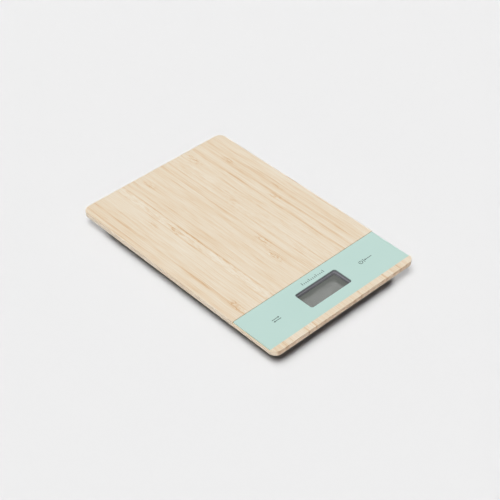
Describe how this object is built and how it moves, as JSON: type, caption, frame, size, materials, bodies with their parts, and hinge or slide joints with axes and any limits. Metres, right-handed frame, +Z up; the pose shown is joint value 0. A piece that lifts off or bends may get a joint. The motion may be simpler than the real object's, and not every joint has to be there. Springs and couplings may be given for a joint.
{
  "type": "kitchen scale",
  "caption": "Slim battery kitchen scale: bamboo platform with a coloured touch panel and inset display, on a plastic base with load-cell feet.",
  "frame": {"origin": "on the table, under the middle of the platform", "axes": "+X to the user's right, +Y from the display edge to the back edge, +Z up"},
  "size_m": [0.162, 0.24, 0.015],
  "materials": {
    "bamboo": "laminated bamboo strips with a thin satin clear coat",
    "mint_overlay": "satin printed overlay, mint green",
    "window": "clear polished plastic",
    "dark_plastic": "moulded, fine matt",
    "lcd_glass": "display glass with polariser, switched off",
    "elastomer": "matt conductive elastomer",
    "circuit_board": "solder-masked glass-epoxy board",
    "epoxy": "black potting resin",
    "ceramic_parts": "chip parts",
    "copper_foil": "copper foil on film",
    "base_plastic": "moulded dark grey ABS, fine spark texture",
    "cell_steel": "stamped alloy steel",
    "nickel": "nickel-plated steel",
    "screw_steel": "zinc-plated steel",
    "gauge_resin": "cured gauge resin",
    "foot_rubber": "soft matt rubber",
    "red_wire": "PVC insulation",
    "black_wire": "PVC insulation",
    "grey_wire": "PVC insulation"
  },
  "bodies": {
    "scale_body": {"bamboo_board": "bamboo", "control_panel": "mint_overlay", "display_window": "window", "lcd_frame": "dark_plastic", "lcd_glass": "lcd_glass", "lcd_connector_front": "elastomer", "lcd_connector_back": "elastomer", "main_pcb": "circuit_board", "controller_chip": "epoxy", "pcb_capacitor_left": "ceramic_parts", "pcb_capacitor_right": "ceramic_parts", "touch_electrode_unit": "copper_foil", "touch_electrode_tare": "copper_foil", "touch_lead_unit": "grey_wire", "touch_lead_tare": "grey_wire", "base_housing": "base_plastic", "coin_cell": "nickel", "battery_contact_negative": "nickel", "battery_contact_positive": "nickel", "battery_lead_negative": "black_wire", "battery_lead_positive": "red_wire", "pcb_screw_1": "screw_steel", "pcb_screw_2": "screw_steel", "pcb_screw_3": "screw_steel", "pcb_screw_4": "screw_steel", "base_screw_1": "screw_steel", "base_screw_2": "screw_steel", "base_screw_3": "screw_steel", "base_screw_4": "screw_steel", "base_screw_5": "screw_steel", "base_screw_6": "screw_steel", "base_screw_7": "screw_steel", "base_screw_8": "screw_steel", "load_cell_front_left": "cell_steel", "strain_gauge_front_left": "gauge_resin", "load_cell_lead_front_left": "grey_wire", "foot_retainer_front_left": "base_plastic", "load_cell_front_right": "cell_steel", "strain_gauge_front_right": "gauge_resin", "load_cell_lead_front_right": "grey_wire", "foot_retainer_front_right": "base_plastic", "load_cell_back_left": "cell_steel", "strain_gauge_back_left": "gauge_resin", "load_cell_lead_back_left": "grey_wire", "foot_retainer_back_left": "base_plastic", "load_cell_back_right": "cell_steel", "strain_gauge_back_right": "gauge_resin", "load_cell_lead_back_right": "grey_wire", "foot_retainer_back_right": "base_plastic"},
    "foot_front_left": {"foot_front_left": "base_plastic", "foot_pad_front_left": "foot_rubber"},
    "foot_front_right": {"foot_front_right": "base_plastic", "foot_pad_front_right": "foot_rubber"},
    "foot_back_left": {"foot_back_left": "base_plastic", "foot_pad_back_left": "foot_rubber"},
    "foot_back_right": {"foot_back_right": "base_plastic", "foot_pad_back_right": "foot_rubber"},
    "battery_door": {"battery_door": "base_plastic"}
  },
  "joints": [
    {"name": "foot_front_left_travel", "type": "slide", "parent": "scale_body", "child": "foot_front_left", "axis": [0, 0, 1], "range_m": [0, 0.0005], "stiffness_N_per_m": 1500, "springref_m": -0.002, "deforming": ["load_cell_front_left"]},
    {"name": "foot_front_right_travel", "type": "slide", "parent": "scale_body", "child": "foot_front_right", "axis": [0, 0, 1], "range_m": [0, 0.0005], "stiffness_N_per_m": 1500, "springref_m": -0.002, "deforming": ["load_cell_front_right"]},
    {"name": "foot_back_left_travel", "type": "slide", "parent": "scale_body", "child": "foot_back_left", "axis": [0, 0, 1], "range_m": [0, 0.0005], "stiffness_N_per_m": 1500, "springref_m": -0.002, "deforming": ["load_cell_back_left"]},
    {"name": "foot_back_right_travel", "type": "slide", "parent": "scale_body", "child": "foot_back_right", "axis": [0, 0, 1], "range_m": [0, 0.0005], "stiffness_N_per_m": 1500, "springref_m": -0.002, "deforming": ["load_cell_back_right"]},
    {"name": "battery_door_hinge", "type": "hinge", "parent": "scale_body", "child": "battery_door", "pos_m": [0, -0.025, 0.0023], "axis": [1, 0, 0], "range_deg": [0, 80]}
  ]
}
